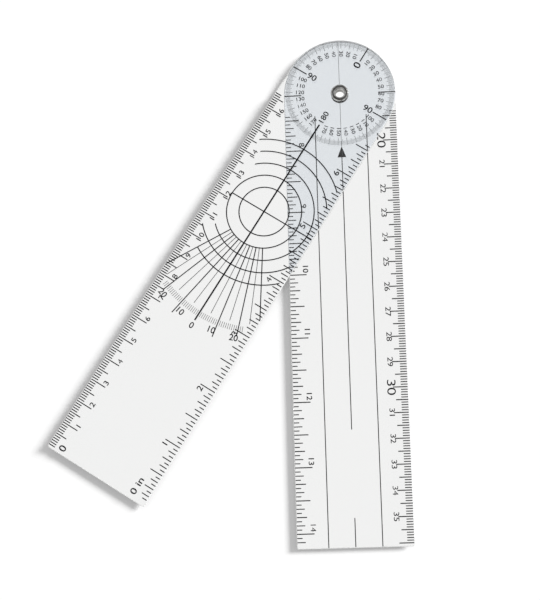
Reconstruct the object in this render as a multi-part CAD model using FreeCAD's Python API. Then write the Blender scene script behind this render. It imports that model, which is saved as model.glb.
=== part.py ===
import FreeCAD, Part
import math
import os

# Angle finder with two clear arms on one hollow rivet. Millimetres, +Z up.
# The origin is on the pivot axis, at the underside of the rear arm.
# The rear arm runs from the pivot along -Y. The front arm lies on top of it,
# swung by opening_angle about +Z.

# ---- arms ----
arm_width = 45.0
scale_half_length = 180.0        # from the pivot to the first graduation near the free end
end_margin = 1.3                 # plastic left beyond that graduation
rear_thickness = 1.5
front_thickness = 1.5
arm_edge_break = 0.2             # chamfer around both faces
end_corner_radius = 0.8
opening_angle = -33.5            # front arm against the rear arm, in degrees
arm_gap = 0.1                    # running gap between the two arms

# ---- hollow rivet and its washer ----
bore_radius = 1.8
barrel_wall = 0.4
running_clearance = 0.05         # around the barrel, and under the flange
flange_radius = 3.6
flange_height = 1.0
flange_mouth = 0.8               # rounding from the bore up to the flange's crest
flange_roll = 0.75               # rounding from the crest down to the flange's rim
flare_radius = 3.1
flare_height = 0.5
flare_mouth = 0.4                # rounding from the bore down to the flare
flare_roll = 0.3                 # rounding from the flare's face up to its rim
washer_radius = 3.5
washer_thickness = 0.3

# ---- printed marks ----
ink_thickness = 0.03
heavy_line = 0.65                # the template's centre line
bold_line = 0.46                 # circles, their cross line and the square marks
plain_line = 0.42                # fan lines and graduations
light_line = 0.36                # guide lines of the rear arm
fine_line = 0.16                 # dial marks, and the centre line behind the dial
print_margin = 0.2               # bare plastic between the print and an arm's side

# straight scales: centimetres on one side of each arm and inches on the other
centimetre = 10.0
inch = 25.4
front_scale_start = 12.0         # distance from the pivot where the front arm's scales end
rear_scale_start = 8.0           # distance from the pivot where the rear arm's scales begin
front_centimetre_tick = 6.7
rear_centimetre_tick = 5.7
half_centimetre_tick = 4.7
inch_tick = 6.7
half_inch_tick = 5.5
quarter_inch_tick = 4.0

# angle dial around the pivot
dial_tick_outer = 21.9
dial_tick_inner = 19.0
cardinal_inner = 15.6
dial_step = 10                   # degrees
cardinal_step = 90               # degrees

# circle template with a fan of angles
template_offset = 57.5           # centre of the circles, from the pivot
first_radius = 10.0              # the first two circles are whole
second_radius = 15.0
third_radius = 20.0              # the other three are cut short
third_upper_reach = 13.5         # how far left the upper arc reaches
third_lower_reach = 14.0         # how far left the lower arc reaches
fourth_radius = 25.0
fourth_upper_reach = 14.5
fourth_lower_reach = 18.5
fifth_radius = 30.0
fifth_upper_reach = 17.5
fifth_lower_reach = 15.0
arc_right_reach = 20.8           # how far right all of these arcs reach
cross_line_left = 15.0
centre_line_start = 15.5         # from the pivot
fan_inner = 15.0                 # where the fan's side lines start
centre_line_end = 51.5           # ends of the fan's lines, from the template's centre
first_fan_line_end = 54.4
second_fan_line_end = 50.5
third_fan_line_end = 44.0
fan_step = 10                    # degrees

# pointer and guide lines of the rear arm
pointer_tip = 22.0
pointer_base = 26.6
pointer_half_width = 1.75
guide_line_offset = 10.3
guide_line_start = 9.0
head_line_end = 21.8             # how far the centre line runs into the round head
plain_area_start = 136.0         # the centre line stops here
plain_area_end = 170.0           # and goes on here
side_mark_inner = 15.5

# ---- sizes that follow ----
arm_length = scale_half_length + end_margin
head_radius = arm_width / 2
print_edge = head_radius - print_margin
whole_circle_radii = (first_radius, second_radius)
# radius, then how far left the upper arc and the lower arc reach
cut_circles = (
    (third_radius, third_upper_reach, third_lower_reach),
    (fourth_radius, fourth_upper_reach, fourth_lower_reach),
    (fifth_radius, fifth_upper_reach, fifth_lower_reach),
)
# angle from the centre line, then the line's end
fan_lines = (
    (0, centre_line_end),
    (fan_step, first_fan_line_end),
    (2 * fan_step, second_fan_line_end),
    (3 * fan_step, third_fan_line_end),
)
barrel_radius = bore_radius + barrel_wall
hole_radius = barrel_radius + running_clearance
rear_top = rear_thickness
front_bottom = rear_top + arm_gap
front_top = front_bottom + front_thickness
flange_bottom = front_top + running_clearance
flange_top = flange_bottom + flange_height
washer_bottom = -washer_thickness
flare_bottom = washer_bottom - flare_height
line_clear_of_rivet = hole_radius + print_margin

up = FreeCAD.Vector(0, 0, 1)


def point(u, v, z=0.0):
    """A place on an arm: u across it, v along it from the pivot to the free end."""
    return FreeCAD.Vector(u, -v, z)


def arc_through(start, middle, end):
    return Part.Arc(start, middle, end).toShape()


def line(start, end):
    return Part.LineSegment(start, end).toShape()


def swing(shape):
    """Turns a piece of the front arm about the pivot to its place."""
    shape.rotate(FreeCAD.Vector(0, 0, 0), up, opening_angle)
    return shape


def blade(thickness, bottom):
    """One arm: a flat strip, round at the pivot and square at the free end."""
    side = head_radius
    straight_end = arm_length - end_corner_radius
    inner = side - end_corner_radius
    bend = end_corner_radius * math.sqrt(0.5)
    outline = [
        arc_through(point(-side, 0, bottom), point(0, -side, bottom), point(side, 0, bottom)),
        line(point(side, 0, bottom), point(side, straight_end, bottom)),
        arc_through(point(side, straight_end, bottom),
                    point(inner + bend, straight_end + bend, bottom),
                    point(inner, arm_length, bottom)),
        line(point(inner, arm_length, bottom), point(-inner, arm_length, bottom)),
        arc_through(point(-inner, arm_length, bottom),
                    point(-inner - bend, straight_end + bend, bottom),
                    point(-side, straight_end, bottom)),
        line(point(-side, straight_end, bottom), point(-side, 0, bottom)),
    ]
    strip = Part.Face(Part.Wire(outline)).extrude(up * thickness)
    rims = [edge for edge in strip.Edges if edge.BoundBox.ZLength < arm_edge_break]
    strip = strip.makeChamfer(arm_edge_break, rims)
    hole = Part.makeCylinder(hole_radius, thickness, FreeCAD.Vector(0, 0, bottom))
    return strip.cut(hole)


def rear_arm():
    return blade(rear_thickness, 0.0)


def front_arm():
    return swing(blade(front_thickness, front_bottom))


def rivet_outline():
    """Half section of the hollow rivet, from the bore out to both rims."""
    def spot(radius, height):
        return FreeCAD.Vector(radius, 0, height)

    def quarter_round(start, end, centre):
        outward = (start - centre) + (end - centre)
        return arc_through(start, centre + outward.normalize() * start.distanceToPoint(centre), end)

    crest_start = bore_radius + flange_mouth
    crest_end = flange_radius - flange_roll
    bore_end = flange_top - flange_mouth
    rim_top = flange_top - flange_roll
    foot_start = bore_radius + flare_mouth
    foot_end = flare_radius - flare_roll
    bore_start = flare_bottom + flare_mouth
    rim_bottom = flare_bottom + flare_roll
    return [
        line(spot(bore_radius, bore_start), spot(bore_radius, bore_end)),
        quarter_round(spot(bore_radius, bore_end), spot(crest_start, flange_top),
                      spot(crest_start, bore_end)),
        line(spot(crest_start, flange_top), spot(crest_end, flange_top)),
        quarter_round(spot(crest_end, flange_top), spot(flange_radius, rim_top),
                      spot(crest_end, rim_top)),
        line(spot(flange_radius, rim_top), spot(flange_radius, flange_bottom)),
        line(spot(flange_radius, flange_bottom), spot(barrel_radius, flange_bottom)),
        line(spot(barrel_radius, flange_bottom), spot(barrel_radius, washer_bottom)),
        line(spot(barrel_radius, washer_bottom), spot(flare_radius, washer_bottom)),
        line(spot(flare_radius, washer_bottom), spot(flare_radius, rim_bottom)),
        quarter_round(spot(flare_radius, rim_bottom), spot(foot_end, flare_bottom),
                      spot(foot_end, rim_bottom)),
        line(spot(foot_end, flare_bottom), spot(foot_start, flare_bottom)),
        quarter_round(spot(foot_start, flare_bottom), spot(bore_radius, bore_start),
                      spot(foot_start, bore_start)),
    ]


def pivot_eyelet():
    section = Part.Face(Part.Wire(rivet_outline()))
    return section.revolve(FreeCAD.Vector(0, 0, 0), up, 360)


def back_washer():
    base = FreeCAD.Vector(0, 0, washer_bottom)
    disc = Part.makeCylinder(washer_radius, washer_thickness, base)
    return disc.cut(Part.makeCylinder(hole_radius, washer_thickness, base))


def printed(corners, level):
    """A flat patch of ink with straight sides, on the face at the given level."""
    places = [point(u, v, level) for u, v in corners]
    return Part.Face(Part.makePolygon(places + places[:1])).extrude(up * ink_thickness)


def printed_line(start, end, width, level):
    du = end[0] - start[0]
    dv = end[1] - start[1]
    length = math.hypot(du, dv)
    side_u = -dv / length * width / 2
    side_v = du / length * width / 2
    corners = [
        (start[0] + side_u, start[1] + side_v),
        (end[0] + side_u, end[1] + side_v),
        (end[0] - side_u, end[1] - side_v),
        (start[0] - side_u, start[1] - side_v),
    ]
    return printed(corners, level)


def radial_line(centre_v, angle, inner, outer, width, level):
    """A line that points away from a centre on the arm; angle 0 points to the free end."""
    turn = math.radians(angle)
    direction = (math.sin(turn), math.cos(turn))
    start = (inner * direction[0], centre_v + inner * direction[1])
    end = (outer * direction[0], centre_v + outer * direction[1])
    return printed_line(start, end, width, level)


def printed_ring(radius, level):
    centre = point(0, template_offset, level)
    outer = Part.makeCylinder(radius + bold_line / 2, ink_thickness, centre)
    return outer.cut(Part.makeCylinder(radius - bold_line / 2, ink_thickness, centre))


def printed_arc(radius, left_reach, side, level):
    """The part of a circle on one side of its centre: -1 nearer the pivot, 1 nearer the free end."""
    far = template_offset + side * (radius + bold_line)
    window = printed([(-left_reach, template_offset), (arc_right_reach, template_offset),
                      (arc_right_reach, far), (-left_reach, far)], level)
    return printed_ring(radius, level).common(window)


def readings(unit, shares, first, last):
    """Scale readings after first, up to last, that are whole units plus one of the shares."""
    found = []
    for whole in range(int(last // unit) + 1):
        for share in shares:
            reading = (whole + share) * unit
            if first < reading <= last:
                found.append(reading)
    return found


def front_place(reading):
    """Distance from the pivot of a reading on the front arm, which starts at its free end."""
    return scale_half_length - reading


def rear_place(reading):
    """Distance from the pivot of a reading on the rear arm, where the scale goes on."""
    return reading - scale_half_length


def tick(place, side, length, level):
    """A graduation from the left (-1) or right (1) side of an arm."""
    return printed_line((side * print_edge, place), (side * (print_edge - length), place),
                        plain_line, level)


def front_scale(unit, tick_lengths, side):
    last = scale_half_length - front_scale_start
    ticks = [tick(front_place(reading), side, length, front_top)
             for shares, length in tick_lengths
             for reading in readings(unit, shares, 0.0, last)]
    return swing(Part.makeCompound(ticks).cut(template_marks()))


def rear_scale(unit, tick_lengths, side):
    first = scale_half_length + rear_scale_start
    ticks = [tick(rear_place(reading), side, length, rear_top)
             for shares, length in tick_lengths
             for reading in readings(unit, shares, first, 2 * scale_half_length)]
    return Part.makeCompound(ticks)


def front_cm_scale():
    return front_scale(centimetre, (((0,), front_centimetre_tick),
                                    ((0.5,), half_centimetre_tick)), -1)


def front_inch_scale():
    return front_scale(inch, (((0,), inch_tick), ((0.5,), half_inch_tick),
                              ((0.25, 0.75), quarter_inch_tick)), 1)


def rear_cm_scale():
    return rear_scale(centimetre, (((0,), rear_centimetre_tick),
                                   ((0.5,), half_centimetre_tick)), 1)


def rear_inch_scale():
    return rear_scale(inch, (((0,), inch_tick), ((0.5,), half_inch_tick),
                             ((0.25, 0.75), quarter_inch_tick)), -1)


def front_angle_dial():
    """Marks of a full circle around the pivot, the main ones longer and bolder.

    The mark towards the free end is the template's centre line.
    """
    marks = []
    for angle in range(dial_step, 360, dial_step):
        cardinal = angle % cardinal_step == 0
        inner = cardinal_inner if cardinal else dial_tick_inner
        width = bold_line if cardinal else fine_line
        marks.append(radial_line(0, angle, inner, dial_tick_outer, width, front_top))
    return swing(Part.makeCompound(marks))


def template_marks():
    """Circles, their centre lines and the fan of angles, where they lie before the arm is swung."""
    level = front_top
    marks = [
        printed_line((0, centre_line_start), (0, template_offset + centre_line_end),
                     heavy_line, level),
        printed_line((-cross_line_left, template_offset), (print_edge, template_offset),
                     bold_line, level),
    ]
    for radius in whole_circle_radii:
        marks.append(printed_ring(radius, level))
    for radius, upper_reach, lower_reach in cut_circles:
        marks.append(printed_arc(radius, upper_reach, -1, level))
        marks.append(printed_arc(radius, lower_reach, 1, level))
    for angle, length in fan_lines[1:]:
        for side in (-1, 1):
            marks.append(radial_line(template_offset, side * angle, fan_inner, length,
                                     plain_line, level))
    return marks[0].fuse(marks[1:]).removeSplitter()


def front_circle_template():
    return swing(template_marks())


def rear_pointer():
    """The solid arrow that points to the pivot."""
    return printed([(0, pointer_tip), (pointer_half_width, pointer_base),
                    (-pointer_half_width, pointer_base)], rear_top)


def rear_guide_lines():
    """Centre line, the two lines beside it and the square marks at the pivot."""
    end = arm_length - print_margin
    spans = (
        (-head_line_end, -line_clear_of_rivet, fine_line),
        (line_clear_of_rivet, pointer_tip, fine_line),
        (pointer_base, plain_area_start, light_line),
        (plain_area_end, end, light_line),
    )
    marks = [printed_line((0, start), (0, stop), width, rear_top) for start, stop, width in spans]
    for side in (-1, 1):
        offset = side * guide_line_offset
        marks.append(printed_line((offset, guide_line_start), (offset, end), light_line, rear_top))
        marks.append(printed_line((side * side_mark_inner, 0), (side * print_edge, 0),
                                  bold_line, rear_top))
    return Part.makeCompound(marks)


NODES = {
    "rear_arm": rear_arm,
    "front_arm": front_arm,
    "pivot_eyelet": pivot_eyelet,
    "back_washer": back_washer,
    "rear_pointer": rear_pointer,
    "rear_guide_lines": rear_guide_lines,
    "rear_cm_scale": rear_cm_scale,
    "rear_inch_scale": rear_inch_scale,
    "front_angle_dial": front_angle_dial,
    "front_circle_template": front_circle_template,
    "front_cm_scale": front_cm_scale,
    "front_inch_scale": front_inch_scale,
}

os.makedirs("parts", exist_ok=True)
for name, build in NODES.items():
    shape = build()
    shape.exportStep("parts/" + name + ".step")
    print(name, len(shape.Solids), round(shape.Volume, 3), shape.isValid())
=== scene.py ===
import math
import bpy
from bpy.props import FloatProperty, FloatVectorProperty, IntProperty, PointerProperty
from mathutils import Matrix, Vector


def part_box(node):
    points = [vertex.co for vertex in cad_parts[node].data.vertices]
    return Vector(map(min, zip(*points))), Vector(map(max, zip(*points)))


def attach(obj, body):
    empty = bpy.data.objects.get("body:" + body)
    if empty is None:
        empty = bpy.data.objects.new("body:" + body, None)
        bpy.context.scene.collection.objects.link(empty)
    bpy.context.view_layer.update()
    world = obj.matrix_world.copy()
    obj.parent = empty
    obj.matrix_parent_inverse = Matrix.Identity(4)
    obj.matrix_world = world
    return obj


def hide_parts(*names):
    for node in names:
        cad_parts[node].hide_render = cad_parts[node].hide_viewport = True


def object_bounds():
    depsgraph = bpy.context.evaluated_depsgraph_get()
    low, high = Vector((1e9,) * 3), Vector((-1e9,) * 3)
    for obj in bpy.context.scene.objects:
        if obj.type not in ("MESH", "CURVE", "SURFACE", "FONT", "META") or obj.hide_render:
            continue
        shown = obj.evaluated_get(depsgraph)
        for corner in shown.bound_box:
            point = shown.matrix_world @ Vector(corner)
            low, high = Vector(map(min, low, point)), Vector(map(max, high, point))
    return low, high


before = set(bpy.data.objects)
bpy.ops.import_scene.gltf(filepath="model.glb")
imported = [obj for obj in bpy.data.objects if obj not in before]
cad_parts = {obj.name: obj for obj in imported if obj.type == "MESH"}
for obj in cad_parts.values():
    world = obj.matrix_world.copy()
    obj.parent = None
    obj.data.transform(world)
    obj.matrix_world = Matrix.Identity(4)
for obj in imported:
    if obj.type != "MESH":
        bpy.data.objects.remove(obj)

bl_info = {
    "name": "Angle finder",
    "version": (1, 0, 0),
    "blender": (4, 5, 0),
    "location": "View3D > Sidebar > Angle finder",
    "description": "Dresses a clear angle finder: sheets, rivet, graduations and numbers",
    "category": "Object",
}

CAD_LOW, CAD_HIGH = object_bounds()
MM = 0.001
CENTIMETRE = 10 * MM
INCH = 25.4 * MM
QUARTER = math.pi / 2
MERGE_DISTANCE = 1e-6     # vertices this close are one

REAR_LOW, REAR_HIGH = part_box("rear_arm")
FRONT_LOW, FRONT_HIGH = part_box("front_arm")
EYELET_LOW, EYELET_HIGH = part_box("pivot_eyelet")
WASHER_LOW, WASHER_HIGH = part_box("back_washer")
HALF_WIDTH = REAR_HIGH.x
REACH = -REAR_LOW.y


# ---- sizes and colours that a user may change ----

class FinderScales(bpy.types.PropertyGroup):
    """The straight scales along both arms."""
    zero_setback: FloatProperty(
        name="Zero setback", description="From an arm's end to the scale's first or last mark",
        default=1.3 * MM, unit="LENGTH", precision=5)
    side_margin: FloatProperty(
        name="Side margin", description="Bare plastic beside the graduations",
        default=0.2 * MM, unit="LENGTH", precision=5)
    front_start: FloatProperty(
        name="Front start", description="From the pivot to the nearest mark of the front arm",
        default=12 * MM, unit="LENGTH", precision=5)
    rear_start: FloatProperty(
        name="Rear start", description="From the pivot to the nearest mark of the rear arm",
        default=8 * MM, unit="LENGTH", precision=5)
    front_tick_width: FloatProperty(
        name="Front tick width", description="Width of the front arm's fine graduations",
        default=0.42 * MM, unit="LENGTH", precision=5)
    rear_tick_width: FloatProperty(
        name="Rear tick width", description="Width of the rear arm's fine graduations",
        default=0.38 * MM, unit="LENGTH", precision=5)
    millimetre_tick: FloatProperty(
        name="Millimetre tick", description="Length of a millimetre graduation",
        default=2.7 * MM, unit="LENGTH", precision=5)
    eighth_tick: FloatProperty(
        name="Eighth tick", description="Length of an eighth-inch graduation",
        default=3.3 * MM, unit="LENGTH", precision=5)
    sixteenth_tick: FloatProperty(
        name="Sixteenth tick", description="Length of a sixteenth-inch graduation",
        default=2.1 * MM, unit="LENGTH", precision=5)
    number_height: FloatProperty(
        name="Number height", description="Height of the scales' numbers",
        default=2.1 * MM, unit="LENGTH", precision=5)
    large_number_height: FloatProperty(
        name="Large number height", description="Height of the numbers that stand out",
        default=3.0 * MM, unit="LENGTH", precision=5)
    number_weight: FloatProperty(
        name="Number weight",
        description="Outline added around a number, as a share of its height",
        default=0.02, min=0.0, max=0.1)
    number_stretch: FloatProperty(
        name="Number stretch", description="How much wider the numbers are than the typeface",
        default=1.18, min=0.5, max=2.0)
    number_inset: FloatProperty(
        name="Number inset", description="From an arm's centre line to the numbers' middle",
        default=16.1 * MM, unit="LENGTH", precision=5)


class FinderDial(bpy.types.PropertyGroup):
    """The full circle of angles around the pivot."""
    outer: FloatProperty(
        name="Outer radius", description="Outer end of the degree marks",
        default=21.9 * MM, unit="LENGTH", precision=5)
    degree_inner: FloatProperty(
        name="Degree mark", description="Inner end of a one-degree mark",
        default=20.0 * MM, unit="LENGTH", precision=5)
    five_degree_inner: FloatProperty(
        name="Five-degree mark", description="Inner end of a five-degree mark",
        default=19.4 * MM, unit="LENGTH", precision=5)
    mark_width: FloatProperty(
        name="Mark width", description="Width of a one-degree mark",
        default=0.079 * MM, unit="LENGTH", precision=5)
    number_outer: FloatProperty(
        name="Number reach", description="From the pivot to the outer end of the small numbers",
        default=17.9 * MM, unit="LENGTH", precision=5)
    digit_length: FloatProperty(
        name="Digit length", description="Room that one digit of the small numbers takes",
        default=1.15 * MM, unit="LENGTH", precision=5)
    number_height: FloatProperty(
        name="Number height", description="Height of the small numbers",
        default=1.5 * MM, unit="LENGTH", precision=5)
    main_number_radius: FloatProperty(
        name="Main number radius", description="From the pivot to the middle of the main numbers",
        default=13.2 * MM, unit="LENGTH", precision=5)
    main_number_height: FloatProperty(
        name="Main number height", description="Height of the numbers at the square marks",
        default=2.4 * MM, unit="LENGTH", precision=5)


class FinderFan(bpy.types.PropertyGroup):
    """The fan of angles that spreads from the circle template."""
    centre: FloatProperty(
        name="Centre", description="From the pivot to the centre of the circles",
        default=57.5 * MM, unit="LENGTH", precision=5)
    inner: FloatProperty(
        name="Inner end", description="Inner end of the light lines",
        default=15 * MM, unit="LENGTH", precision=5)
    light_line_end: FloatProperty(
        name="Outer end", description="Outer end of the light lines",
        default=46 * MM, unit="LENGTH", precision=5)
    light_line_width: FloatProperty(
        name="Light line width", description="Width of the five-degree lines",
        default=0.24 * MM, unit="LENGTH", precision=5)
    arc_inner: FloatProperty(
        name="Arc inner radius", description="Inner end of the arc of one-degree marks",
        default=47.2 * MM, unit="LENGTH", precision=5)
    arc_outer: FloatProperty(
        name="Arc outer radius", description="Outer end of the arc of one-degree marks",
        default=49.6 * MM, unit="LENGTH", precision=5)
    arc_mark_width: FloatProperty(
        name="Arc mark width", description="Width of a mark of that arc",
        default=0.18 * MM, unit="LENGTH", precision=5)
    number_height: FloatProperty(
        name="Number height", description="Height of the fan's numbers",
        default=2.5 * MM, unit="LENGTH", precision=5)


class FinderRivet(bpy.types.PropertyGroup):
    """The hollow rivet and its washer."""
    bore_radius: FloatProperty(
        name="Bore radius", description="Inside radius of the rivet's barrel",
        default=1.8 * MM, unit="LENGTH", precision=5)
    barrel_wall: FloatProperty(
        name="Barrel wall", description="Thickness of the barrel",
        default=0.4 * MM, unit="LENGTH", precision=5)
    flange_height: FloatProperty(
        name="Flange height", description="Height of the rolled flange on the front arm",
        default=1.0 * MM, unit="LENGTH", precision=5)
    flange_mouth: FloatProperty(
        name="Flange mouth", description="Rounding from the bore up to the flange's crest",
        default=0.8 * MM, unit="LENGTH", precision=5)
    flange_roll: FloatProperty(
        name="Flange roll", description="Rounding from the crest down to the flange's rim",
        default=0.75 * MM, unit="LENGTH", precision=5)
    flare_radius: FloatProperty(
        name="Flare radius", description="Radius of the rim that is set on the washer",
        default=3.1 * MM, unit="LENGTH", precision=5)
    flare_mouth: FloatProperty(
        name="Flare mouth", description="Rounding from the bore down to the flare",
        default=0.4 * MM, unit="LENGTH", precision=5)
    flare_roll: FloatProperty(
        name="Flare roll", description="Rounding from the flare's face up to its rim",
        default=0.3 * MM, unit="LENGTH", precision=5)
    dent_depth: FloatProperty(
        name="Dent depth", description="How far the setting tool pressed the flange out of true",
        default=0.18 * MM, unit="LENGTH", precision=5)
    dent_size: FloatProperty(
        name="Dent size", description="Distance from one of these dents to the next",
        default=1.5 * MM, unit="LENGTH", precision=5)
    segments: IntProperty(
        name="Segments", description="Faces around the rivet", default=96, min=24, max=256)


class FinderFinish(bpy.types.PropertyGroup):
    """Colours and surface qualities."""
    sheet_colour: FloatVectorProperty(
        name="Sheet colour", description="What a clear sheet lets through",
        subtype="COLOR", size=4, default=(0.91, 0.912, 0.908, 1.0))
    ink_colour: FloatVectorProperty(
        name="Ink colour", description="Black screen ink",
        subtype="COLOR", size=4, default=(0.004, 0.004, 0.005, 1.0))
    nickel_colour: FloatVectorProperty(
        name="Nickel colour", description="Nickel plate",
        subtype="COLOR", size=4, default=(0.55, 0.55, 0.54, 1.0))


class FinderStage(bpy.types.PropertyGroup):
    """Floor, light and camera."""
    floor_half_width: FloatProperty(
        name="Floor half width", description="From the floor's middle to its sides",
        default=6.0, unit="LENGTH")
    sun_strength: FloatProperty(
        name="Sun strength", description="Irradiance of the soft main light", default=4.2)
    sun_angle: FloatProperty(
        name="Sun angle", description="Apparent width of the main light",
        default=math.radians(20), subtype="ANGLE")
    sun_direction: FloatVectorProperty(
        name="Sun direction", description="The way the main light travels",
        default=(-1.64, -0.66, -1.0), subtype="XYZ", size=3)
    camera_place: FloatVectorProperty(
        name="Camera place", description="Where the camera stands",
        default=(0.00658, -0.21072, 0.61883), subtype="TRANSLATION", size=3)
    camera_target: FloatVectorProperty(
        name="Camera target", description="The middle of the picture on the ground",
        default=(-0.03044, -0.08335, 0.0), subtype="TRANSLATION", size=3)
    camera_roll: FloatProperty(
        name="Camera roll", description="Turn of the camera about its own axis",
        default=math.radians(-18.0366), subtype="ANGLE")
    camera_lens: FloatProperty(
        name="Camera lens", description="Focal length in millimetres", default=96.0)


# ---- places on the arms ----

def arm_turn(node):
    """The angle about +Z from the rear arm's direction to this arm's free end."""
    vertices = [v.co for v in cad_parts[node].data.vertices]
    far = [co for co in vertices if co.xy.length > REACH]
    middle = sum(far, Vector((0, 0, 0))) / len(far)
    return math.atan2(middle.x, -middle.y)


def on_rear(across, along, turn=0.0):
    """Matrix of a place on the rear arm's face: across it, and along it from the pivot."""
    place = Matrix.Translation((across, -along, REAR_HIGH.z))
    return place @ Matrix.Rotation(turn, 4, "Z")


def on_front(across, along, turn=0.0):
    """The same on the front arm's face."""
    swing = Matrix.Rotation(arm_turn("front_arm"), 4, "Z")
    place = Matrix.Translation((across, -along, FRONT_HIGH.z))
    return swing @ place @ Matrix.Rotation(turn, 4, "Z")


def ink_thickness():
    low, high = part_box("rear_pointer")
    return high.z - low.z


# ---- modelling helpers ----

def deselect_all():
    if bpy.context.object and bpy.context.object.mode != "OBJECT":
        bpy.ops.object.mode_set(mode="OBJECT")
    bpy.ops.object.select_all(action="DESELECT")


def make_active(piece):
    deselect_all()
    piece.select_set(True)
    bpy.context.view_layer.objects.active = piece


def settle(piece):
    """Leaves the object at the origin, unturned, with its place in its mesh."""
    make_active(piece)
    bpy.ops.object.transform_apply(location=True, rotation=True, scale=True)


def join(pieces, name):
    """One object out of many, with its place in its mesh."""
    deselect_all()
    for piece in pieces:
        piece.select_set(True)
    bpy.context.view_layer.objects.active = pieces[0]
    bpy.ops.object.join()
    joined = bpy.context.object
    joined.name = name
    joined.data.name = name
    settle(joined)
    return joined


def copy_to(piece, places):
    """A copy of the piece, with its own mesh, at each place."""
    copies = []
    for place in places:
        twin = piece.copy()
        twin.data = piece.data.copy()
        twin.matrix_world = place
        bpy.context.collection.objects.link(twin)
        copies.append(twin)
    return copies


BAR_CORNER = 0.3     # cut off a printed bar's corners, as a share of its width


def ink_bar(length, width):
    """A printed bar that starts at the origin and runs along +X, with softened corners."""
    deselect_all()
    height = ink_thickness()
    bpy.ops.mesh.primitive_cube_add(size=1, location=(length / 2, 0, height / 2))
    bar = bpy.context.object
    bar.scale = (length, width, height)
    settle(bar)
    bpy.ops.object.mode_set(mode="EDIT")
    bpy.ops.mesh.select_all(action="DESELECT")
    bpy.ops.object.mode_set(mode="OBJECT")
    for edge in bar.data.edges:
        low, high = (bar.data.vertices[i].co for i in edge.vertices)
        edge.select = abs(low.z - high.z) > height / 2
    bpy.ops.object.mode_set(mode="EDIT")
    bpy.ops.mesh.select_mode(type="EDGE")
    bpy.ops.mesh.bevel(offset=width * BAR_CORNER, segments=1)
    bpy.ops.object.mode_set(mode="OBJECT")
    return bar


def print_bars(name, groups, body):
    """Bars of ink joined into one piece: groups of (length, width, places)."""
    made = []
    for length, width, places in groups:
        pattern = ink_bar(length, width)
        made += copy_to(pattern, places)
        bpy.data.objects.remove(pattern)
    piece = join(made, name)
    return finish_print(piece, body)


def print_words(name, words, body):
    """Numbers joined into one piece. Each is what word_mesh takes, in its order."""
    made = [word_mesh(*word) for word in words]
    piece = join(made, name)
    return finish_print(piece, body)


DIGIT_SHARE = 0.7     # height of a digit in the built-in typeface, as a share of its size
CURVE_STEPS = 6       # straight pieces in each curve of a digit


def word_mesh(text, height, place, stretch=None, weight=None, spacing=1.0):
    """A number as a thin solid; stretch and spacing act along the word."""
    scales = bpy.context.scene.finder_scales
    if stretch is None:
        stretch = scales.number_stretch
    if weight is None:
        weight = scales.number_weight
    if "4" in text:
        weight = 0.0     # any outline added to the typeface's 4 fills it in
    deselect_all()
    bpy.ops.object.text_add()
    word = bpy.context.object
    word.data.body = text
    word.data.size = height / DIGIT_SHARE
    word.data.align_x = "CENTER"
    word.data.align_y = "CENTER"
    word.data.space_character = spacing
    word.data.resolution_u = CURVE_STEPS
    word.data.offset = height * weight
    word.data.extrude = ink_thickness() / 2
    bpy.ops.object.convert(target="MESH")
    word = bpy.context.object
    lift = Matrix.Translation((0, 0, ink_thickness() / 2))
    word.matrix_world = place @ lift @ Matrix.Diagonal((stretch, 1, 1, 1))
    return word


def finish_print(piece, body):
    assign(piece, ink_material())
    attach(piece, body)
    return piece


def assign(piece, material):
    piece.data.materials.clear()
    piece.data.materials.append(material)


# ---- materials ----

def new_material(name):
    material = bpy.data.materials.new(name)
    material.use_nodes = True
    nodes = material.node_tree.nodes
    return material, nodes, material.node_tree.links, nodes["Principled BSDF"]


def add_noise(nodes, links, scale, detail):
    coordinates = nodes.new("ShaderNodeTexCoord")
    noise = nodes.new("ShaderNodeTexNoise")
    noise.inputs["Scale"].default_value = scale
    noise.inputs["Detail"].default_value = detail
    links.new(coordinates.outputs["Object"], noise.inputs["Vector"])
    return noise


def add_range(nodes, links, source, low, high, from_low=0.0, from_high=1.0):
    remap = nodes.new("ShaderNodeMapRange")
    remap.inputs["From Min"].default_value = from_low
    remap.inputs["From Max"].default_value = from_high
    remap.inputs["To Min"].default_value = low
    remap.inputs["To Max"].default_value = high
    links.new(source, remap.inputs["Value"])
    return remap


def add_math(nodes, links, operation, first, second):
    node = nodes.new("ShaderNodeMath")
    node.operation = operation
    for socket, value in zip(node.inputs, (first, second)):
        if isinstance(value, (int, float)):
            socket.default_value = value
        else:
            links.new(value, socket)
    return node.outputs[0]


def shade(colour, shares):
    """The colour with its red, green and blue multiplied by their shares."""
    return [part * share for part, share in zip(colour, shares)] + [1.0]


def add_bump(nodes, links, shader, height, strength, distance):
    bump = nodes.new("ShaderNodeBump")
    bump.inputs["Strength"].default_value = strength
    bump.inputs["Distance"].default_value = distance
    links.new(height, bump.inputs["Height"])
    links.new(bump.outputs["Normal"], shader.inputs["Normal"])


# how much red, green and blue is left of a colour
THIN_INK = (2.4, 2.4, 2.4)             # against full ink
TARNISH = (0.45, 0.44, 0.42)           # against clean plate
# painted shade inside the rivet's bore, against clean plate
BORE_PAINTED_SHADE = (0.3, 0.29, 0.27)


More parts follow.
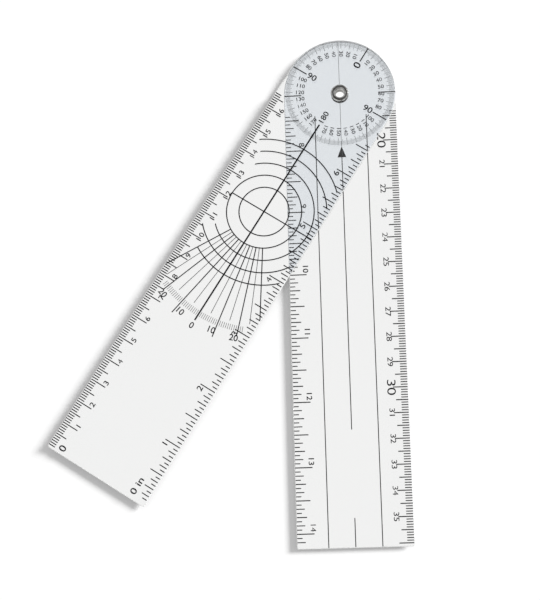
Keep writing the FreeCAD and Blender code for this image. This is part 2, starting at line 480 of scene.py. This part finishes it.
def ink_material():
    """Black screen ink: matt, a little uneven where it was drawn through the mesh."""
    if "screen_ink" in bpy.data.materials:
        return bpy.data.materials["screen_ink"]
    material, nodes, links, shader = new_material("screen_ink")
    finish = bpy.context.scene.finder_finish
    mottle = add_noise(nodes, links, scale=1800.0, detail=3.0)
    colour = nodes.new("ShaderNodeMixRGB")
    colour.inputs["Color1"].default_value = finish.ink_colour
    colour.inputs["Color2"].default_value = shade(finish.ink_colour, THIN_INK)
    links.new(mottle.outputs["Fac"], colour.inputs["Fac"])
    links.new(colour.outputs["Color"], shader.inputs["Base Color"])
    shader.inputs["Specular IOR Level"].default_value = 0.3
    sheen = add_range(nodes, links, mottle.outputs["Fac"], low=0.55, high=0.8,
                      from_low=0.3, from_high=0.7)
    links.new(sheen.outputs["Result"], shader.inputs["Roughness"])
    add_bump(nodes, links, shader, mottle.outputs["Fac"], strength=0.25, distance=0.01 * MM)
    return material


def sheet_material():
    """Clear polished sheet with satin cut edges and the fine rubs of use."""
    if "clear_sheet" in bpy.data.materials:
        return bpy.data.materials["clear_sheet"]
    material, nodes, links, shader = new_material("clear_sheet")
    shader.inputs["Base Color"].default_value = bpy.context.scene.finder_finish.sheet_colour
    shader.inputs["IOR"].default_value = 1.49

    haze = add_noise(nodes, links, scale=60.0, detail=4.0)
    rubs = add_range(nodes, links, haze.outputs["Fac"], low=0.0, high=0.03,
                     from_low=0.35, from_high=0.75)
    geometry = nodes.new("ShaderNodeNewGeometry")
    normal = nodes.new("ShaderNodeSeparateXYZ")
    links.new(geometry.outputs["Normal"], normal.inputs["Vector"])
    level = add_math(nodes, links, "ABSOLUTE", normal.outputs["Z"], 0)
    cut_edge = add_range(nodes, links, level, low=1.0, high=0.0, from_low=0.6, from_high=0.95)
    satin = add_range(nodes, links, cut_edge.outputs["Result"], low=0.0, high=0.3)
    roughness = add_math(nodes, links, "ADD", rubs.outputs["Result"], satin.outputs["Result"])
    links.new(roughness, shader.inputs["Roughness"])
    clear = add_range(nodes, links, cut_edge.outputs["Result"], low=1.0, high=0.45)
    links.new(clear.outputs["Result"], shader.inputs["Transmission Weight"])

    ripple = add_noise(nodes, links, scale=25.0, detail=2.0)
    add_bump(nodes, links, shader, ripple.outputs["Fac"], strength=0.05, distance=0.2 * MM)
    let_light_through(nodes, links, shader)
    return material


def let_light_through(nodes, links, shader):
    """Only the layer where the two arms meet holds the lamps' light back."""
    output = nodes["Material Output"]
    geometry = nodes.new("ShaderNodeNewGeometry")
    place = nodes.new("ShaderNodeSeparateXYZ")
    links.new(geometry.outputs["Position"], place.inputs["Vector"])
    middle = (REAR_HIGH.z + FRONT_LOW.z) / 2
    gap = FRONT_LOW.z - REAR_HIGH.z
    offset = add_math(nodes, links, "SUBTRACT", place.outputs["Z"], middle)
    distance = add_math(nodes, links, "ABSOLUTE", offset, 0)
    away = add_math(nodes, links, "GREATER_THAN", distance, gap)
    path = nodes.new("ShaderNodeLightPath")
    clear = add_math(nodes, links, "MULTIPLY", path.outputs["Is Shadow Ray"], away)
    transparent = nodes.new("ShaderNodeBsdfTransparent")
    mix = nodes.new("ShaderNodeMixShader")
    links.new(clear, mix.inputs["Fac"])
    links.new(shader.outputs["BSDF"], mix.inputs[1])
    links.new(transparent.outputs["BSDF"], mix.inputs[2])
    links.new(mix.outputs["Shader"], output.inputs["Surface"])


def nickel_material():
    """Nickel plate with tarnish, painted shade on the bore's wall (which is also rougher there),
    and finely scratched around the rim.
    """
    if "nickel_plate" in bpy.data.materials:
        return bpy.data.materials["nickel_plate"]
    material, nodes, links, shader = new_material("nickel_plate")
    rivet = bpy.context.scene.finder_rivet
    bright = bpy.context.scene.finder_finish.nickel_colour
    shader.inputs["Metallic"].default_value = 1.0

    coordinates = nodes.new("ShaderNodeTexCoord")
    flat = nodes.new("ShaderNodeVectorMath")
    flat.operation = "MULTIPLY"
    flat.inputs[1].default_value = (1, 1, 0)
    links.new(coordinates.outputs["Object"], flat.inputs[0])
    radius = nodes.new("ShaderNodeVectorMath")
    radius.operation = "LENGTH"
    links.new(flat.outputs["Vector"], radius.inputs[0])
    # painted shade: the nickel is darkest on the bore's wall and fades to clean plate just past
    # its mouth
    out_of_bore = rivet.bore_radius + rivet.flange_mouth / 6
    clear_of_painted_shade = add_range(nodes, links, radius.outputs["Value"], low=0.0, high=1.0,
                         from_low=rivet.bore_radius, from_high=out_of_bore)

    tarnish = add_noise(nodes, links, scale=900.0, detail=5.0)
    spots = add_range(nodes, links, tarnish.outputs["Fac"], low=0.0, high=1.0,
                      from_low=0.45, from_high=0.65)
    plate = nodes.new("ShaderNodeMixRGB")
    plate.inputs["Color1"].default_value = bright
    plate.inputs["Color2"].default_value = shade(bright, TARNISH)
    links.new(spots.outputs["Result"], plate.inputs["Fac"])
    colour = nodes.new("ShaderNodeMixRGB")
    # the painted shade's colour inside the bore
    colour.inputs["Color1"].default_value = shade(bright, BORE_PAINTED_SHADE)
    links.new(plate.outputs["Color"], colour.inputs["Color2"])
    links.new(clear_of_painted_shade.outputs["Result"], colour.inputs["Fac"])
    links.new(colour.outputs["Color"], shader.inputs["Base Color"])

    dull = add_range(nodes, links, tarnish.outputs["Fac"], low=0.14, high=0.34)
    in_bore = add_range(nodes, links, clear_of_painted_shade.outputs["Result"], low=0.2, high=0.0)
    roughness = add_math(nodes, links, "ADD", dull.outputs["Result"], in_bore.outputs["Result"])
    links.new(roughness, shader.inputs["Roughness"])
    rings = nodes.new("ShaderNodeTexWave")
    rings.wave_type = "RINGS"
    rings.rings_direction = "Z"
    rings.inputs["Scale"].default_value = 2600.0
    rings.inputs["Distortion"].default_value = 6.0
    rings.inputs["Detail"].default_value = 2.0
    links.new(coordinates.outputs["Object"], rings.inputs["Vector"])
    add_bump(nodes, links, shader, rings.outputs["Fac"], strength=0.12, distance=0.02 * MM)
    return material


# ---- the pieces ----

class FINDER_OT_sheets(bpy.types.Operator):
    """Gives both arms their clear sheet"""
    bl_idname = "finder.sheets"
    bl_label = "Clear sheets"

    def execute(self, context):
        for node in ("rear_arm", "front_arm"):
            assign(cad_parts[node], sheet_material())
        return {"FINISHED"}


class FINDER_OT_main_print(bpy.types.Operator):
    """Inks the pointer, the guide lines, the template and the main graduations"""
    bl_idname = "finder.main_print"
    bl_label = "Main print"

    def execute(self, context):
        for name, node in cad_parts.items():
            if name.startswith(("rear_", "front_")) and not name.endswith("_arm"):
                assign(node, ink_material())
        return {"FINISHED"}


ROUNDING = 1e-6      # share of a step by which the last one may fall short


def steps(first, last, step):
    """Distances from first to last in equal steps."""
    count = int(math.floor((last - first) / step + ROUNDING))
    return [first + index * step for index in range(count + 1)]


def side_tick(place, side, along, inset):
    """Matrix of a tick that starts at an arm's left (-1) or right (1) side."""
    turn = math.pi if side > 0 else 0.0
    return place(side * inset, along, turn)


class FINDER_OT_fine_graduations(bpy.types.Operator):
    """Prints the millimetres and the eighths and sixteenths of an inch on both arms"""
    bl_idname = "finder.fine_graduations"
    bl_label = "Fine graduations"

    def execute(self, context):
        scales = context.scene.finder_scales
        half = REACH - scales.zero_setback
        inset = HALF_WIDTH - scales.side_margin
        front_last = half - scales.front_start
        rear_first = half + scales.rear_start
        whole = half * 2

        def front(side, readings):
            return [side_tick(on_front, side, half - reading, inset)
                    for reading in readings if reading <= front_last]

        def rear(side, readings):
            return [side_tick(on_rear, side, reading - half, inset)
                    for reading in readings if reading >= rear_first]

        millimetres = [reading for reading in steps(0, whole, MM)
                       if round(reading / MM) % 5 != 0]
        eighths = steps(INCH / 8, whole, INCH / 4)
        sixteenths = steps(INCH / 16, whole, INCH / 8)
        first_mark = [side_tick(on_front, -1, half, inset)]
        width = scales.front_tick_width
        print_bars("front_fine_graduations", (
            (scales.millimetre_tick, width, first_mark + front(-1, millimetres)),
            (scales.eighth_tick, width, front(1, eighths)),
            (scales.sixteenth_tick, width, front(1, sixteenths)),
        ), "front")
        width = scales.rear_tick_width
        print_bars("rear_fine_graduations", (
            (scales.millimetre_tick, width, rear(1, millimetres)),
            (scales.eighth_tick, width, rear(-1, eighths)),
            (scales.sixteenth_tick, width, rear(-1, sixteenths)),
        ), "rear")
        return {"FINISHED"}


def radial_bar(place, centre, inner, degrees):
    """Matrix of a bar that points away from a centre; 0 degrees is towards the free end."""
    turn = math.radians(degrees)
    across = inner * math.sin(turn)
    along = centre + inner * math.cos(turn)
    return place(across, along, turn - math.pi / 2)


FIVE_DEGREE_WIDTH = 1.4     # of a five-degree mark, against a one-degree mark


class FINDER_OT_dial_marks(bpy.types.Operator):
    """Prints the one-degree and five-degree marks around the pivot"""
    bl_idname = "finder.dial_marks"
    bl_label = "Dial marks"

    def execute(self, context):
        dial = context.scene.finder_dial
        ones = [degrees for degrees in range(360) if degrees % 5]
        fives = [degrees for degrees in range(5, 360, 10)]
        print_bars("front_dial_degrees", (
            (dial.outer - dial.degree_inner, dial.mark_width,
             [radial_bar(on_front, 0, dial.degree_inner, degrees) for degrees in ones]),
            (dial.outer - dial.five_degree_inner, dial.mark_width * FIVE_DEGREE_WIDTH,
             [radial_bar(on_front, 0, dial.five_degree_inner, degrees) for degrees in fives]),
        ), "front")
        return {"FINISHED"}


LIGHT_LINES = range(-25, 30, 10)     # degrees from the fan's middle line
ARC_MARGIN = 3.2 * MM                # from an arm's side to the fan's arc


class FINDER_OT_fan_marks(bpy.types.Operator):
    """Prints the fan's light lines and its arc of one-degree marks"""
    bl_idname = "finder.fan_marks"
    bl_label = "Fan marks"

    def execute(self, context):
        fan = context.scene.finder_fan
        edge = HALF_WIDTH - context.scene.finder_scales.side_margin
        light = []
        for degrees in LIGHT_LINES:
            room = edge / abs(math.sin(math.radians(degrees)))
            end = min(fan.light_line_end, room)
            place = radial_bar(on_front, fan.centre, fan.inner, degrees)
            light.append((end - fan.inner, fan.light_line_width, [place]))
        clear_of_scales = HALF_WIDTH - ARC_MARGIN
        widest = int(math.degrees(math.asin(clear_of_scales / fan.arc_outer)))
        arc = [degrees for degrees in range(-widest, widest + 1) if degrees % 10]
        light.append((fan.arc_outer - fan.arc_inner, fan.arc_mark_width,
                      [radial_bar(on_front, fan.centre, fan.arc_inner, degrees)
                       for degrees in arc]))
        print_bars("front_fan_marks", light, "front")
        return {"FINISHED"}


# which numbers each straight scale shows
FRONT_CENTIMETRES = range(1, 17)
FRONT_INCHES = range(1, 7)
REAR_CENTIMETRES = range(20, 36)
REAR_INCHES = range(8, 15)

# how far a number stands from its graduation, towards the free end
ZERO_SHIFT = -1.2 * MM
INCH_ZERO_SHIFT = -4.4 * MM
ONE_DIGIT_SHIFT = -1.7 * MM
TWO_DIGIT_SHIFT = -0.4 * MM
FRONT_INCH_SHIFT = 1.6 * MM
REAR_INCH_SHIFT = -2.5 * MM

# how far it stands out past the numbers' common line, towards the arm's side
ZERO_OUT = 0.5 * MM
FRONT_INCH_OUT = 0.35 * MM
REAR_CENTIMETRE_OUT = -0.3 * MM

# heights against the plain number's, or the large one's for a decade
ZERO_HEIGHT = 1.35
INCH_ZERO_HEIGHT = 1.2
FRONT_INCH_HEIGHT = 1.1
DECADE_HEIGHT = 1.12

# widths against the typeface's, and what the rear arm's centimetres weigh
INCH_ZERO_STRETCH = 1.35
DECADE_STRETCH = 1.38
REAR_CENTIMETRE_STRETCH = 1.3
REAR_CENTIMETRE_WEIGHT = 0.01
TWO_DIGIT_SPACING = 1.3


class FINDER_OT_scale_numbers(bpy.types.Operator):
    """Prints the numbers of the straight scales"""
    bl_idname = "finder.scale_numbers"
    bl_label = "Scale numbers"

    def execute(self, context):
        scales = context.scene.finder_scales
        half = REACH - scales.zero_setback
        inset = scales.number_inset
        small = scales.number_height
        large = scales.large_number_height

        front = [
            ("0", small * ZERO_HEIGHT,
             on_front(-inset - ZERO_OUT, half + ZERO_SHIFT, QUARTER)),
            ("0 in", small * INCH_ZERO_HEIGHT,
             on_front(inset, half + INCH_ZERO_SHIFT, QUARTER), INCH_ZERO_STRETCH),
        ]
        for centimetre in FRONT_CENTIMETRES:
            two_digits = centimetre >= 10
            shift = TWO_DIGIT_SHIFT if two_digits else ONE_DIGIT_SHIFT
            spacing = TWO_DIGIT_SPACING if two_digits else 1.0
            place = on_front(-inset, half - centimetre * CENTIMETRE + shift, QUARTER)
            front.append((str(centimetre), small, place, None, None, spacing))
        for count in FRONT_INCHES:
            place = on_front(inset + FRONT_INCH_OUT,
                             half - count * INCH + FRONT_INCH_SHIFT, QUARTER)
            front.append((str(count), small * FRONT_INCH_HEIGHT, place))
        print_words("front_scale_numbers", front, "front")

        rear = []
        for centimetre in REAR_CENTIMETRES:
            place = on_rear(inset + REAR_CENTIMETRE_OUT,
                            centimetre * CENTIMETRE - half, -QUARTER)
            if centimetre % 10 == 0:
                rear.append((str(centimetre), large * DECADE_HEIGHT, place, DECADE_STRETCH, 0.0))
            else:
                rear.append((str(centimetre), small, place,
                             REAR_CENTIMETRE_STRETCH, REAR_CENTIMETRE_WEIGHT))
        for count in REAR_INCHES:
            place = on_rear(-inset, count * INCH - half + REAR_INCH_SHIFT, -QUARTER)
            rear.append((str(count), small, place))
        print_words("rear_scale_numbers", rear, "rear")
        return {"FINISHED"}


# the two numbers on the dial's middle line: height against the main numbers', and how far
# past their radius they stand, towards the rim
DIAL_ZERO_HEIGHT = 1.2
DIAL_ZERO_OUT = 0.5 * MM
HALF_TURN_HEIGHT = 0.92
HALF_TURN_OUT = -1.05 * MM


class FINDER_OT_dial_numbers(bpy.types.Operator):
    """Prints the numbers of the dial, which count both ways from the round head"""
    bl_idname = "finder.dial_numbers"
    bl_label = "Dial numbers"

    def execute(self, context):
        dial = context.scene.finder_dial
        words = [
            ("0", dial.main_number_height * DIAL_ZERO_HEIGHT,
             on_front(0, -dial.main_number_radius - DIAL_ZERO_OUT, QUARTER)),
            ("180", dial.main_number_height * HALF_TURN_HEIGHT,
             on_front(0, dial.main_number_radius + HALF_TURN_OUT, QUARTER)),
        ]
        for side in (-1, 1):
            for degrees in range(10, 180, 10):
                main = degrees == 90
                radius = dial.number_outer - len(str(degrees)) * dial.digit_length / 2
                if main:
                    radius = dial.main_number_radius
                height = dial.main_number_height if main else dial.number_height
                turn = math.radians(degrees)
                across = side * radius * math.sin(turn)
                along = -radius * math.cos(turn)
                reading = side * (QUARTER - turn)
                words.append((str(degrees), height, on_front(across, along, reading)))
        print_words("front_dial_numbers", words, "front")
        return {"FINISHED"}


# text, millimetres across the arm and along it from the pivot, and turn in degrees
FAN_NUMBERS = (
    ("0", 0.0, 111.5, 0),
    ("10", -7.1, 109.0, -10), ("10", 7.5, 109.0, 10),
    ("20", -16.8, 106.5, -20), ("20", 16.9, 107.1, 20),
)
FAN_STRETCH = 1.0


class FINDER_OT_fan_numbers(bpy.types.Operator):
    """Prints the numbers of the fan's angles"""
    bl_idname = "finder.fan_numbers"
    bl_label = "Fan numbers"

    def execute(self, context):
        height = context.scene.finder_fan.number_height
        words = []
        for text, across, along, turn in FAN_NUMBERS:
            place = on_front(across * MM, along * MM, math.radians(turn))
            words.append((text, height, place, FAN_STRETCH))
        print_words("front_fan_numbers", words, "front")
        return {"FINISHED"}


# straight pieces in each round of the turned pieces
MOUTH_STEPS = 12
RIM_STEPS = 14
FLARE_STEPS = 8
WASHER_STEPS = 4
SMOOTH_BELOW = math.radians(40)      # flatter edges than this are shaded smooth
RUNNING_CLEARANCE = 0.05 * MM        # around the barrel
WASHER_EDGE = 0.3                    # rounding of the washer, as a share of its thickness


def lathe(name, outline, segments):
    """Turns a closed outline of (radius, height) points about the Z axis."""
    deselect_all()
    radius, height = outline[0]
    bpy.ops.mesh.primitive_circle_add(vertices=segments, radius=radius, location=(0, 0, height))
    piece = bpy.context.object
    piece.name = name
    settle(piece)
    bpy.ops.object.mode_set(mode="EDIT")
    bpy.ops.mesh.select_all(action="SELECT")
    for next_radius, next_height in outline[1:] + outline[:1]:
        bpy.ops.mesh.extrude_edges_move(
            TRANSFORM_OT_translate={"value": (0, 0, next_height - height)})
        share = next_radius / radius
        bpy.ops.transform.resize(value=(share, share, 1), center_override=(0, 0, next_height))
        radius, height = next_radius, next_height
    bpy.ops.mesh.select_all(action="SELECT")
    bpy.ops.mesh.remove_doubles(threshold=MERGE_DISTANCE)
    bpy.ops.mesh.normals_make_consistent(inside=False)
    bpy.ops.object.mode_set(mode="OBJECT")
    bpy.ops.object.shade_smooth_by_angle(angle=SMOOTH_BELOW)
    return piece


def quarter_arc(centre, radius, start, end, count):
    """Points of an arc, with angles in degrees from the +radius direction."""
    points = []
    for index in range(count + 1):
        angle = math.radians(start + (end - start) * index / count)
        points.append((centre[0] + radius * math.cos(angle),
                       centre[1] + radius * math.sin(angle)))
    return points


def rolled_rim(centre, roll, height):
    """A rim's round, from its crest out and down to where it meets a face at the height."""
    under = math.degrees(math.asin((height - roll) / roll))
    return quarter_arc(centre, roll, 90, -under, RIM_STEPS)


def press_dents(piece, lowest, size, depth):
    """Presses the flange a little out of true, as the setting tool leaves it."""
    dents = bpy.data.textures.new("setting_dents", "CLOUDS")
    dents.noise_scale = size
    flange = piece.vertex_groups.new(name="flange")
    raised = [vertex.index for vertex in piece.data.vertices if vertex.co.z > lowest]
    flange.add(raised, 1.0, "REPLACE")
    make_active(piece)
    press = piece.modifiers.new("dents", "DISPLACE")
    press.texture = dents
    press.texture_coords = "LOCAL"
    press.vertex_group = flange.name
    press.mid_level = 1.0
    press.strength = depth
    bpy.ops.object.modifier_apply(modifier=press.name)


class FINDER_OT_rivet(bpy.types.Operator):
    """Turns the hollow rivet with its rolled flange and its set flare"""
    bl_idname = "finder.rivet"
    bl_label = "Hollow rivet"

    def execute(self, context):
        rivet = context.scene.finder_rivet
        bore = rivet.bore_radius
        barrel = bore + rivet.barrel_wall
        top = EYELET_HIGH.z
        bottom = EYELET_LOW.z
        underside = top - rivet.flange_height
        seat = WASHER_LOW.z
        outline = quarter_arc((bore + rivet.flange_mouth, top - rivet.flange_mouth),
                              rivet.flange_mouth, 180, 90, MOUTH_STEPS)
        outline += rolled_rim((EYELET_HIGH.x - rivet.flange_roll, top - rivet.flange_roll),
                              rivet.flange_roll, rivet.flange_height)
        outline += [(barrel, underside), (barrel, seat)]
        flare = rolled_rim((rivet.flare_radius - rivet.flare_roll, -bottom - rivet.flare_roll),
                           rivet.flare_roll, seat - bottom)
        outline += [(radius, -depth) for radius, depth in reversed(flare)]
        outline += quarter_arc((bore + rivet.flare_mouth, bottom + rivet.flare_mouth),
                               rivet.flare_mouth, 270, 180, FLARE_STEPS)
        piece = lathe("hollow_rivet", outline, rivet.segments)
        lowest_dent = underside + rivet.flange_height / 8
        press_dents(piece, lowest_dent, rivet.dent_size, rivet.dent_depth)
        assign(piece, nickel_material())
        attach(piece, "rear")
        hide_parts("pivot_eyelet")
        return {"FINISHED"}


class FINDER_OT_washer(bpy.types.Operator):
    """Turns the washer that the flare is set against"""
    bl_idname = "finder.washer"
    bl_label = "Washer"

    def execute(self, context):
        rivet = context.scene.finder_rivet
        hole = rivet.bore_radius + rivet.barrel_wall + RUNNING_CLEARANCE
        rim = WASHER_HIGH.x
        low = WASHER_LOW.z
        high = WASHER_HIGH.z
        edge = (high - low) * WASHER_EDGE
        outline = [(hole, low + edge), (hole, high - edge), (hole + edge, high)]
        outline += quarter_arc((rim - edge, high - edge), edge, 90, 0, WASHER_STEPS)
        outline += quarter_arc((rim - edge, low + edge), edge, 0, -90, WASHER_STEPS)
        outline += [(hole + edge, low)]
        piece = lathe("setting_washer", outline, rivet.segments)
        assign(piece, nickel_material())
        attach(piece, "rear")
        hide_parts("back_washer")
        return {"FINISHED"}


# ---- floor, light and camera ----

GROUND_COLOUR = (0.8, 0.8, 0.8, 1.0)
GROUND_GLOW = 0.27                          # added where it is seen directly
TWO_SHEETS_DEEP = 3.5                       # a ray crosses four faces where both arms lie
TWO_SHEETS_TINT = (0.906, 0.942, 0.99, 1.0)
WHITE = (1.0, 1.0, 1.0, 1.0)
GROUND_DROP = 0.05 * MM                     # from the lowest piece down to the ground
AMBIENT = 0.3                               # what the room adds to every lit surface
SENSOR_WIDTH = 36                           # millimetres


def floor_material():
    """A white ground that keeps the shadow, and is plain white where it is seen through a sheet
    or in the metal; under the rivet it glows plain white, painted light where the rivet's shadow
    falls."""
    material, nodes, links, shader = new_material("white_ground")
    shader.inputs["Base Color"].default_value = GROUND_COLOUR
    shader.inputs["Roughness"].default_value = 0.9
    shader.inputs["Specular IOR Level"].default_value = 0.0
    glow = nodes.new("ShaderNodeEmission")
    lit = nodes.new("ShaderNodeAddShader")
    links.new(shader.outputs["BSDF"], lit.inputs[0])
    path = nodes.new("ShaderNodeLightPath")
    glow_strength = add_math(nodes, links, "MULTIPLY", path.outputs["Is Camera Ray"],
                             GROUND_GLOW)
    links.new(glow_strength, glow.inputs["Strength"])
    links.new(glow.outputs["Emission"], lit.inputs[1])

    white = nodes.new("ShaderNodeEmission")
    depth = add_math(nodes, links, "GREATER_THAN", path.outputs["Transmission Depth"],
                     TWO_SHEETS_DEEP)
    tint = nodes.new("ShaderNodeMixRGB")
    tint.inputs["Color1"].default_value = WHITE
    tint.inputs["Color2"].default_value = TWO_SHEETS_TINT
    links.new(depth, tint.inputs["Fac"])
    links.new(tint.outputs["Color"], white.inputs["Color"])

    coordinates = nodes.new("ShaderNodeTexCoord")
    spread = nodes.new("ShaderNodeVectorMath")
    spread.operation = "LENGTH"
    links.new(coordinates.outputs["Object"], spread.inputs[0])
    # painted light: the ground under the rivet glows plain white instead of lying in the rivet's
    # shadow
    painted_light_under_rivet = add_math(nodes, links, "LESS_THAN", spread.outputs["Value"], WASHER_HIGH.x)
    seen = add_math(nodes, links, "MAXIMUM", path.outputs["Is Transmission Ray"],
                    path.outputs["Is Glossy Ray"])
    plain = add_math(nodes, links, "MAXIMUM", seen, painted_light_under_rivet)
    mix = nodes.new("ShaderNodeMixShader")
    links.new(plain, mix.inputs["Fac"])
    links.new(lit.outputs["Shader"], mix.inputs[1])
    links.new(white.outputs["Emission"], mix.inputs[2])
    links.new(mix.outputs["Shader"], nodes["Material Output"].inputs["Surface"])
    return material


# soft boxes that only mirrors see: direction, strength
SOFT_BOXES = (
    ((-0.62, -0.73, 0.27), 1.5),
    ((0.75, 0.35, 0.56), 1.3),
    ((-0.55, 0.60, 0.58), 0.8),
)
SOFT_BOX_RIM = math.cos(math.radians(22))      # no light from here outwards
SOFT_BOX_CORE = math.cos(math.radians(10))     # full light from here inwards


def soft_box(nodes, links, toward, direction, strength):
    """Brightness of one soft box, as a mirror sees it."""
    facing = nodes.new("ShaderNodeVectorMath")
    facing.operation = "DOT_PRODUCT"
    facing.inputs[1].default_value = Vector(direction).normalized()
    links.new(toward, facing.inputs[0])
    glow = add_range(nodes, links, facing.outputs["Value"], low=0.0, high=strength,
                     from_low=SOFT_BOX_RIM, from_high=SOFT_BOX_CORE)
    return glow.outputs["Result"]


def studio_world():
    """White where the camera sees it, a plain pale room for what it lights and mirrors."""
    world = bpy.data.worlds.new("studio")
    world.use_nodes = True
    nodes = world.node_tree.nodes
    links = world.node_tree.links
    background = nodes["Background"]
    path = nodes.new("ShaderNodeLightPath")
    seen = add_math(nodes, links, "MAXIMUM", path.outputs["Is Camera Ray"],
                    path.outputs["Is Transmission Ray"])
    coordinates = nodes.new("ShaderNodeTexCoord")
    direction = nodes.new("ShaderNodeSeparateXYZ")
    links.new(coordinates.outputs["Generated"], direction.inputs["Vector"])
    ceiling = add_range(nodes, links, direction.outputs["Z"], low=0.95, high=0.14,
                        from_low=0.15, from_high=0.75)
    bright = ceiling.outputs["Result"]
    for box_direction, box_strength in SOFT_BOXES:
        glow = soft_box(nodes, links, coordinates.outputs["Generated"],
                        box_direction, box_strength)
        bright = add_math(nodes, links, "ADD", bright, glow)
    mirrored = add_math(nodes, links, "MULTIPLY", path.outputs["Is Glossy Ray"], bright)
    ambient = add_math(nodes, links, "SUBTRACT", 1.0, path.outputs["Is Glossy Ray"])
    ambient = add_math(nodes, links, "MULTIPLY", ambient, AMBIENT)
    room = add_math(nodes, links, "ADD", mirrored, ambient)
    strength = add_math(nodes, links, "MAXIMUM", room, seen)
    links.new(strength, background.inputs["Strength"])
    background.inputs["Color"].default_value = WHITE
    bpy.context.scene.world = world


class FINDER_OT_stage(bpy.types.Operator):
    """Lays the white ground and sets the light and the camera"""
    bl_idname = "finder.stage"
    bl_label = "Stage"

    def execute(self, context):
        stage = context.scene.finder_stage
        deselect_all()
        bpy.ops.mesh.primitive_plane_add(size=2 * stage.floor_half_width,
                                         location=(0, 0, CAD_LOW.z - GROUND_DROP))
        ground = context.object
        ground.name = "ground"
        assign(ground, floor_material())
        studio_world()

        bpy.ops.object.light_add(type="SUN", location=(0.5, 0.3, 0.4))
        sun = context.object
        sun.name = "main_light"
        sun.data.energy = stage.sun_strength
        sun.data.angle = stage.sun_angle
        sun.visible_glossy = False
        sun.rotation_euler = Vector(stage.sun_direction).to_track_quat("-Z", "Y").to_euler()

        place = Vector(stage.camera_place)
        look = Vector(stage.camera_target) - place
        bpy.ops.object.camera_add(location=place)
        camera = context.object
        camera.name = "camera"
        aim = look.to_track_quat("-Z", "Y").to_matrix()
        roll = Matrix.Rotation(stage.camera_roll, 3, "Z")
        camera.rotation_euler = (aim @ roll).to_euler()
        camera.data.lens = stage.camera_lens
        camera.data.sensor_width = SENSOR_WIDTH
        camera.data.clip_start = 0.01
        context.scene.camera = camera
        context.scene.view_settings.view_transform = "Standard"
        context.scene.cycles.caustics_refractive = False
        context.scene.cycles.caustics_reflective = False
        return {"FINISHED"}


# ---- add-on ----

OPERATORS = (
    FINDER_OT_sheets,
    FINDER_OT_main_print,
    FINDER_OT_fine_graduations,
    FINDER_OT_dial_marks,
    FINDER_OT_fan_marks,
    FINDER_OT_scale_numbers,
    FINDER_OT_dial_numbers,
    FINDER_OT_fan_numbers,
    FINDER_OT_rivet,
    FINDER_OT_washer,
    FINDER_OT_stage,
)


class FINDER_PT_panel(bpy.types.Panel):
    """Lists the steps that dress the angle finder"""
    bl_idname = "FINDER_PT_panel"
    bl_label = "Angle finder"
    bl_space_type = "VIEW_3D"
    bl_region_type = "UI"
    bl_category = "Angle finder"

    def draw(self, context):
        for operator in OPERATORS:
            self.layout.operator(operator.bl_idname)


GROUPS = {
    "finder_scales": FinderScales,
    "finder_dial": FinderDial,
    "finder_fan": FinderFan,
    "finder_rivet": FinderRivet,
    "finder_finish": FinderFinish,
    "finder_stage": FinderStage,
}


def register():
    for group in GROUPS.values():
        bpy.utils.register_class(group)
    for name, group in GROUPS.items():
        setattr(bpy.types.Scene, name, PointerProperty(type=group))
    for operator in OPERATORS:
        bpy.utils.register_class(operator)
    bpy.utils.register_class(FINDER_PT_panel)


def unregister():
    bpy.utils.unregister_class(FINDER_PT_panel)
    for operator in reversed(OPERATORS):
        bpy.utils.unregister_class(operator)
    for name in GROUPS:
        delattr(bpy.types.Scene, name)
    for group in reversed(list(GROUPS.values())):
        bpy.utils.unregister_class(group)


def main():
    register()
    bpy.ops.finder.sheets()
    bpy.ops.finder.main_print()
    bpy.ops.finder.fine_graduations()
    bpy.ops.finder.dial_marks()
    bpy.ops.finder.fan_marks()
    bpy.ops.finder.scale_numbers()
    bpy.ops.finder.dial_numbers()
    bpy.ops.finder.fan_numbers()
    bpy.ops.finder.rivet()
    bpy.ops.finder.washer()
    bpy.ops.finder.stage()
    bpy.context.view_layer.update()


if __name__ == "__main__":
    main()
